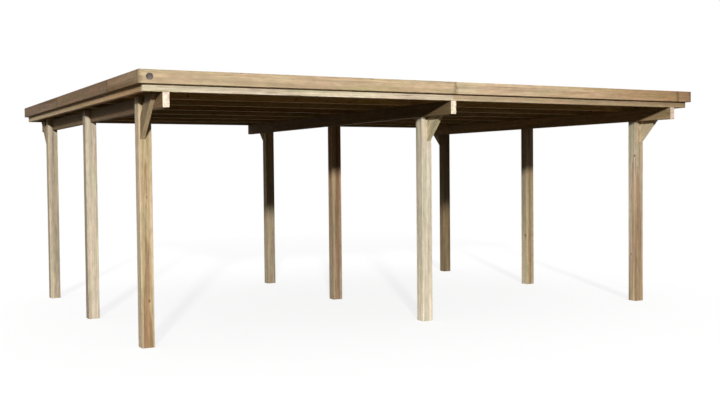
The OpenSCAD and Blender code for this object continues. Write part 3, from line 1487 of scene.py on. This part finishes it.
@dataclass
class Roof:
    """Six ribbed steel sheets that lap, with their screws.

    Attributes:
        finish: the sheets' finish.
        screw_finish: the screws' finish.
        sheets: number of sheets side by side.
        ribs: ribs from one lap to the next.
        rib_top: width of a rib at its top.
        rib_base: width of a rib at its base.
        foot: flat strip beyond the last rib of a sheet.
        thick: thickness of a sheet.
        solid_thick: thickness of the frame's sheets.
        edge_gap: gap between the sheets and the fascia.
        bend: width of the round at each bend.
        screw_lift: height of the screws' feet above the underside of the lower sheets' ribs.
    """

    finish: RoofFinish
    screw_finish: SteelFinish
    sheets: int = 6
    ribs: int = 5
    rib_top: float = 40 * MM
    rib_base: float = 76 * MM
    foot: float = 22 * MM
    thick: float = 0.9 * MM
    solid_thick: float = 1.0 * MM
    edge_gap: float = 6 * MM
    bend: float = 4 * MM
    screw_lift: float = 2.4 * MM

    def __post_init__(self) -> None:
        """Reads the roof's box and works out the ribs' number and spacing."""
        self.under = node_box("roof_sheets_under")
        self.over = node_box("roof_sheets_over")
        self.half = max(self.under[1][0], self.over[1][0]) + self.edge_gap
        self.count = self.sheets * self.ribs
        self.pitch = 2 * self.half / self.count
        self.rib_height = self.under[1][2] - self.under[0][2] - self.solid_thick

    def rib_x(self, rib: int | np.ndarray) -> float | np.ndarray:
        """Gives the middle of a rib or of several, counted from the left."""
        return -self.half + (rib + 0.5) * self.pitch

    def line(self, first: int, last: int) -> np.ndarray:
        """Gives a sheet's underside in x and z, with a small round at each bend.

        Every bend of the folded line is replaced by three points of a parabola whose legs are
        half the bend's width long.

        Args:
            first: the sheet's first rib.
            last: its last rib.

        Returns:
            The points from left to right, one row each.
        """
        middles = self.rib_x(np.arange(first, last + 1))
        steps = np.array([-self.rib_base, -self.rib_top, self.rib_top, self.rib_base]) / 2
        x = (middles[:, None] + steps[None]).ravel()
        z = np.tile([0, self.rib_height, self.rib_height, 0], len(middles))
        left = -self.half + self.edge_gap if first == 0 else x[0] - self.foot
        right = self.half - self.edge_gap if last == self.count - 1 else x[-1] + self.foot
        folded = np.stack([np.concatenate([[left], x, [right]]), np.concatenate([[0], z, [0]])], axis=1)
        corner = folded[1:-1]
        legs = np.stack([folded[:-2] - corner, folded[2:] - corner])
        back, ahead = legs * (self.bend / 2 / np.linalg.norm(legs, axis=-1, keepdims=True))
        rounds = np.stack([corner + back, corner + (back + ahead) / 4, corner + ahead], axis=1)
        return np.concatenate([folded[:1], rounds.reshape(-1, 2), folded[-1:]])

    def sheet(self, number: int) -> Shell:
        """Makes one sheet: its line, moved out by its thickness and carried from front to back.

        Args:
            number: the sheet, counted from the left. Odd ones lie over even ones.

        Returns:
            The closed shell.
        """
        first = number * self.ribs
        lower = self.line(first, min(first + self.ribs, self.count - 1))
        low, high = self.over if number % 2 else self.under
        run = np.gradient(lower, axis=0)
        run /= np.linalg.norm(run, axis=1, keepdims=True)
        upper = lower + self.thick * np.stack([-run[:, 1], run[:, 0]], axis=1)
        upper[[0, -1], 0] = lower[[0, -1], 0]
        loop = np.concatenate([lower, upper[::-1]])
        loop[:, 1] += low[2]
        flat = np.broadcast_to(loop[None, :, ::-1], (2, len(loop), 2))
        shell = tube(flat, np.array([low[1], high[1]]), np.zeros((2, len(loop))), Axis.Y)
        around = len(loop)
        step = np.arange(len(lower) - 1)
        strip = np.stack([step, step + 1, around - 2 - step, around - 1 - step], axis=-1)
        ends = np.concatenate([strip, strip[:, ::-1] + around])
        sides = [face[1::-1] + face[:1:-1] for face in shell.faces[:-2]]
        return Shell(shell.points, sides + [tuple(quad) for quad in ends.tolist()], shell.worn)

    def screws(self, lines: list[float]) -> Shell:
        """Places a screw on every second rib over each rafter and rim.

        Args:
            lines: the y of each rafter and rim.

        Returns:
            All the screws.
        """
        top = self.under[0][2] + self.rib_height + self.screw_lift
        places = [(self.rib_x(rib), y, top) for rib in range(0, self.count, 2) for y in lines]
        return placed(roof_screw(), places, Facing.UP)

    def build(self, lines: list[float]) -> None:
        """Makes the sheets and their screws.

        Args:
            lines: the y of each rafter and rim that the screws go into.
        """
        material = self.finish.material()
        for number in range(self.sheets):
            shell = self.sheet(number)
            piece = mesh_object(f"roof_sheet_{number + 1}", shell, material)
            half = len(shell.points) // 4
            # 1 on the top layer, 0 on the underside layer that takes the painted shade
            write_attribute(piece.data, "upper", np.tile(np.repeat([0.0, 1.0], half), 2))
            ride(piece, self.finish.slot, "roof_sheets_over" if number % 2 else "roof_sheets_under")
        ride(mesh_object("roof_screws", self.screws(lines), self.screw_finish.material()))


# ---------------------------------------------------------------- studio


@dataclass
class Studio:
    """The floor, the light and the camera.

    Attributes:
        eye: where the camera stands.
        yaw: how far it turns from +Y towards +X.
        pitch: how far it looks up.
        roll: how far it leans.
        lens: focal length in millimetres.
        sensor: width of its sensor in millimetres.
        far: how far it sees.
        sun_way: the way the key light travels.
        sun: the key light's strength.
        sun_width: its width as seen from the floor, which softens the shadows.
        sky: brightness of the white surround, as the timber sees it.
        low_sky: share of it that is left at the horizon.
        sky_rise: heights between which it brightens to the full.
        sky_lean: how much brighter it is towards each axis, and darker away from it.
        fill_way: the way to a second pale part of the surround, behind the right corner.
        fill: how bright that part is.
        fill_edge: how nearly along that way it begins, and is full.
        floor_half: half the floor's side.
        floor_drop: how far the floor lies below the posts' feet.
        matt: share of the floor that is matt white rather than glowing, near the carport.
        matt_fade: distances from the middle between which that share fades.
        matt_white: the matt white.
        open_light: brightness of that matt white in the open, which the glow makes up for.
        bounce: the floor's colour for the light that it throws back.
    """

    eye: Place = (-5.3284, -10.4697, 1.5351)
    yaw: float = 0.4965
    pitch: float = -0.0319
    roll: float = -0.0098
    lens: float = 48.81
    sensor: float = 36.0
    far: float = 500.0
    sun_way: Place = (0.47, 1.0, -0.27)
    sun: float = 3.30
    sun_width: float = math.radians(3.0)
    sky: float = 0.57
    low_sky: float = 0.16
    sky_rise: tuple[float, float] = (0.08, 0.45)
    sky_lean: Place = (-0.55, -0.25, 0.0)
    fill_way: Place = (0.64, 0.77, 0.0)
    fill: float = 0.60
    fill_edge: tuple[float, float] = (0.2, 0.9)
    floor_half: float = 60.0
    floor_drop: float = 0.5 * MM
    matt: float = 0.28
    matt_fade: tuple[float, float] = (5.0, 16.0)
    matt_white: Colour = (0.9, 0.9, 0.9)
    open_light: float = 0.706
    bounce: Colour = (0.06, 0.045, 0.026)

    def camera(self) -> None:
        """Adds the camera from its three angles."""
        level = math.cos(self.pitch)
        ahead = Vector((math.sin(self.yaw) * level, math.cos(self.yaw) * level, math.sin(self.pitch)))
        right = Vector((math.cos(self.yaw), -math.sin(self.yaw), 0.0))
        up = right.cross(ahead)
        lean_right = right * math.cos(self.roll) + up * math.sin(self.roll)
        lean_up = up * math.cos(self.roll) - right * math.sin(self.roll)
        data = bpy.data.cameras.new("camera")
        data.lens = self.lens
        data.sensor_width = self.sensor
        data.clip_end = self.far
        camera = bpy.data.objects.new("camera", data)
        turn = Matrix((lean_right, lean_up, -ahead)).transposed()
        camera.matrix_world = Matrix.Translation(self.eye) @ turn.to_4x4()
        bpy.context.scene.collection.objects.link(camera)
        bpy.context.scene.camera = camera

    def lights(self) -> None:
        """Adds a broad key light and a white surround.

        The surround darkens towards the horizon and leans to the front left, and a second pale
        part of it fills the back and the right side. The camera sees it plain white.
        """
        data = bpy.data.lights.new("key", "SUN")
        data.energy = self.sun
        data.angle = self.sun_width
        key = bpy.data.objects.new("key", data)
        key.rotation_euler = Vector(self.sun_way).to_track_quat("-Z", "Y").to_euler()
        bpy.context.scene.collection.objects.link(key)
        world = bpy.data.worlds.new("surround")
        bpy.context.scene.world = world
        world.use_nodes = True
        bench = Bench(world.node_tree)
        way = bench.node("TexCoord", {}, "Generated")
        lift = bench.spread(bench.step(bench.split(way)[2], *self.sky_rise), self.low_sky, 1.0)
        glow = lift * (bench.along(self.sky_lean, way) * self.sky + self.sky)
        glow = bench.step(bench.along(self.fill_way, way), *self.fill_edge) * self.fill + glow
        back = world.node_tree.nodes["Background"]
        bench.put(back.inputs["Color"], WHITE)
        bench.put(back.inputs["Strength"], bench.node("Mix", {0: bench.clear_rays(), 2: glow, 3: 1.0}))

    def floor(self) -> None:
        """Adds a pale floor that keeps a faint shadow near the carport.

        To the camera it is part glow and part matt white, and the matt share fades with the
        distance from the middle. The light that it throws back is that of dark paving.
        """
        ends = np.array([self.floor_half, self.floor_half])
        corners = box_corners(-ends, ends).tolist()
        mesh = bpy.data.meshes.new("floor")
        mesh.from_pydata([(x, y, -self.floor_drop) for x, y in corners], [], [(0, 1, 2, 3)])
        floor = bpy.data.objects.new("floor", mesh)
        bpy.context.scene.collection.objects.link(floor)
        bench = Bench.start("floor")
        near, far = self.matt_fade
        shown = bench.step(bench.length(bench.place()), far, near) * self.matt
        level = (shown * -self.open_light + 1.0) / (1 - shown)
        glow = bench.node("Emission", {"Color": WHITE, "Strength": level})
        matt = bench.node("BsdfDiffuse", {"Color": self.matt_white})
        dark = bench.node("BsdfDiffuse", {"Color": self.bounce})
        seen = bench.node("MixShader", {0: shown, 1: glow, 2: matt})
        both = bench.node("MixShader", {0: bench.clear_rays(), 1: dark, 2: seen})
        bench.put(bench.tree.nodes["Material Output"].inputs["Surface"], both)
        bench.tree.nodes.remove(bench.shader)
        mesh.materials.append(bench.material)

    def build(self) -> None:
        """Sets up the view, the light and the floor."""
        bpy.context.scene.view_settings.view_transform = "Standard"
        self.camera()
        self.lights()
        self.floor()


# ---------------------------------------------------------------- the carport

POST_PINE = TimberFinish("post_pine", "post_timber", knot_share=0.8, streak=0.8)
BEAM_PINE = TimberFinish("beam_pine", "beam_timber")
# The rafters' dark, warm sapwood is partly their own browner wood and partly painted shade under the roof
RAFTER_PINE = TimberFinish("rafter_pine", "rafter_timber", sapwood=(0.387, 0.277, 0.15), knot_share=0.9)
FASCIA_PINE = TimberFinish("fascia_pine", "fascia_timber", end_soil=0.5)
ZINC = SteelFinish("zinc_plate", (0.60, 0.60, 0.58), (0.36, 0.35, 0.33), 0.38, 90.0)
SCREW_STEEL = SteelFinish("screw_steel", (0.30, 0.26, 0.21), (0.14, 0.12, 0.09), 0.45, 90.0)
DISC_METAL = SteelFinish("disc_plate", (0.24, 0.20, 0.175), (0.05, 0.04, 0.035), 0.42, 30.0)

ROSY_HEART: Colour = (0.74, 0.62, 0.58)
# A pale brace: partly pale wood, partly painted light for its side towards -X, which gets little light
PALE_BRACE: Colour = (1.22, 1.26, 1.28)

# Each post's log: where the heart shows and how pale the wood is, with painted light and shade on each
# post's side towards -X, painted light on the upper parts of the centre middle and back middle posts, and
# painted shade on those of the centre right and back right posts
POST_CUTS = {
    (Row.FRONT, Column.LEFT): Cut(
        (-0.003, -0.0235), (0.002, 0.0), 0.0360, 0.0140, (0.95, 0.89, 0.81), (0.60, 0.51, 0.44),
        left_painted_shading=(0.93, 0.99, 1.13), offset=5.1,
    ),
    (Row.FRONT, Column.MIDDLE): Cut(
        (0.080, 0.090), heart=0.02, tone=(1.12, 1.22, 1.36), left_painted_shading=(1.36, 1.36, 1.36), offset=11.4
    ),
    (Row.FRONT, Column.RIGHT): Cut(
        (-0.022, -0.022), (0.0, 0.0), 0.052, 0.030, (0.80, 0.76, 0.78), (0.78, 0.67, 0.60),
        left_painted_shading=(1.9, 2.1, 2.2), offset=8.4,
    ),
    (Row.CENTRE, Column.LEFT): Cut(
        (0.070, 0.080), (0.0, 0.006), 0.03, tone=(0.95, 0.99, 1.10),
        left_painted_shading=(0.72, 0.70, 0.68), offset=19.2,
    ),
    (Row.CENTRE, Column.MIDDLE): Cut(
        (0.004, -0.015), (0.004, 0.0), 0.050, 0.004, (0.61, 0.60, 0.61), ROSY_HEART,
        left_painted_shading=(1.3, 1.3, 1.3), far_tone_and_shade=(1.4, 1.15, 0.95), offset=23.9,
    ),
    (Row.CENTRE, Column.RIGHT): Cut(
        (-0.006, -0.028), (0.0, 0.0), 0.036, 0.002, (0.80, 0.80, 0.78), ROSY_HEART,
        left_painted_shading=(1.65, 1.68, 1.75), far_tone_and_shade=(0.76, 0.70, 0.62), offset=27.3,
    ),
    (Row.BACK, Column.LEFT): Cut(
        (0.060, 0.050), (0.01, 0.0), 0.055, 0.01, (0.91, 0.92, 0.99), ROSY_HEART,
        left_painted_shading=(0.8, 0.8, 0.8), offset=31.8,
    ),
    (Row.BACK, Column.MIDDLE): Cut(
        (0.080, 0.080), heart=0.02, tone=(0.62, 0.63, 0.63),
        left_painted_shading=(1.2, 1.2, 1.2), far_tone_and_shade=(1.5, 1.42, 1.3), offset=33.0,
    ),
    (Row.BACK, Column.RIGHT): Cut(
        (0.020, -0.020), heart=0.040, tone=(0.41, 0.37, 0.32),
        left_painted_shading=(1.5, 1.5, 1.5), far_tone_and_shade=(0.6, 0.54, 0.48), offset=39.9,
    ),
}
# The left and middle purlins are darkened as painted shade under the roof, and their sawn ends lifted back
# to pale end grain; the right one keeps nearer its wood's own tone
PURLINS = {
    "purlin_left": BoardTone((0.36, 0.28, 0.22), (0.32, 0.27, 0.22), (4.0, 5.25, 8.0)),
    "purlin_middle": BoardTone((0.40, 0.33, 0.26), sawn=(3.8, 4.8, 7.4)),
    "purlin_right": BoardTone((0.92, 0.76, 0.60), sawn=(1.40, 1.58, 2.5)),
}
# Each brace's tone, partly painted light, and the painted light and shade on its side towards -X
BRACES = {
    (Row.FRONT, Column.LEFT): ((0.95, 0.88, 0.76), 0.48),
    (Row.FRONT, Column.MIDDLE): (PALE_BRACE, 1.0),
    (Row.FRONT, Column.RIGHT): ((1.22, 1.27, 1.27), 1.24),
    (Row.BACK, Column.LEFT): ((0.60, 0.52, 0.44), 1.0),
    (Row.BACK, Column.MIDDLE): (PALE_BRACE, 1.0),
    (Row.BACK, Column.RIGHT): (PALE_BRACE, 1.0),
}
# rim_front_left is much paler than the other rims: partly pale wood, partly painted light that makes up for
# the fascia's shade over it
END_RIMS = {
    "rim_front_left": BoardTone((1.38, 1.44, 1.52), (1.22, 1.26, 1.34)),
    "rim_front_right": BoardTone((0.93, 0.89, 0.85), (0.51, 0.44, 0.39)),
    "rim_back_left": BoardTone((0.92, 0.88, 0.80)),
    "rim_back_right": BoardTone((0.86, 0.82, 0.74)),
}
# The side rims are darker than the end rims, partly their own wood and partly painted shade; the left one
# turns paler and greyer towards the back
SIDE_RIMS = {
    "rim_side_left": BoardTone((0.84, 0.66, 0.50), (0.91, 0.90, 0.82)),
    "rim_side_right": BoardTone((0.84, 0.70, 0.52)),
}
# The first two rafters are paler as painted light, where light from the front reaches the underside
RAFTERS = {
    "rafter_1": BoardTone((1.90, 1.75, 1.30)),
    "rafter_2": BoardTone((1.40, 1.25, 1.00)),
} | {f"rafter_{number}": BoardTone((1.15, 1.08, 0.92)) for number in range(3, 7)}
FASCIA_ENDS = {
    "fascia_front_left": BoardTone((0.94, 0.88, 0.81), (0.86, 0.79, 0.73)),
    "fascia_front_right": BoardTone((1.04, 0.99, 0.96), (0.60, 0.46, 0.35)),
    "fascia_front_end": BoardTone((0.54, 0.42, 0.33), (0.42, 0.33, 0.27)),
    "fascia_back_left": BoardTone((0.90, 0.82, 0.70)),
    "fascia_back_right": BoardTone((0.84, 0.76, 0.66)),
}
# The side boards are much darker than those at the front and back: partly browner wood and partly painted
# shade for the sides that get less light
FASCIA_SIDES = {
    "fascia_left_front": BoardTone((0.60, 0.51, 0.46), (0.48, 0.39, 0.33)),
    "fascia_left_middle": BoardTone((0.395, 0.315, 0.28), (0.40, 0.315, 0.285)),
    "fascia_left_back": BoardTone((0.41, 0.335, 0.31), (0.355, 0.285, 0.275)),
    "fascia_right_front": BoardTone((0.60, 0.52, 0.44)),
    "fascia_right_middle": BoardTone((0.52, 0.45, 0.38)),
    "fascia_right_back": BoardTone((0.56, 0.48, 0.40)),
}


def main() -> None:
    """Builds the carport piece by piece, then the studio."""
    logging.basicConfig(level=logging.INFO, format="%(name)s %(message)s")
    Posts(POST_PINE, POST_CUTS).build()

    beam = BEAM_PINE.material()
    Boards(BEAM_PINE, Axis.Y, PURLINS, hearts=False).build(beam)
    Braces(BEAM_PINE, BRACES).build(beam)
    Boards(BEAM_PINE, Axis.X, END_RIMS).build(beam)
    Boards(BEAM_PINE, Axis.Y, SIDE_RIMS).build(beam)
    Boards(RAFTER_PINE, Axis.X, RAFTERS, vary=0.15).build(RAFTER_PINE.material())

    fascia = FASCIA_PINE.material()
    Boards(FASCIA_PINE, Axis.X, FASCIA_ENDS, vary=0.0).build(fascia)
    Boards(FASCIA_PINE, Axis.Y, FASCIA_SIDES, vary=0.0).build(fascia)
    CornerDisc(DISC_METAL).build()

    ways = dict.fromkeys(FASCIA_ENDS, Axis.X) | dict.fromkeys(FASCIA_SIDES, Axis.Y)
    Fixings(SCREW_STEEL).build(ways, list(RAFTERS))

    sheet_low, sheet_high = node_box("roof_sheets_under")
    roof = Roof(RoofFinish("roof_coat", "roof_sheet", sheet_low[2], sheet_high[2]), ZINC)
    roof.build([middle_y(name) for name in ["rim_front_left", *RAFTERS, "rim_back_left"]])

    Studio().build()


if __name__ == "__main__":
    main()
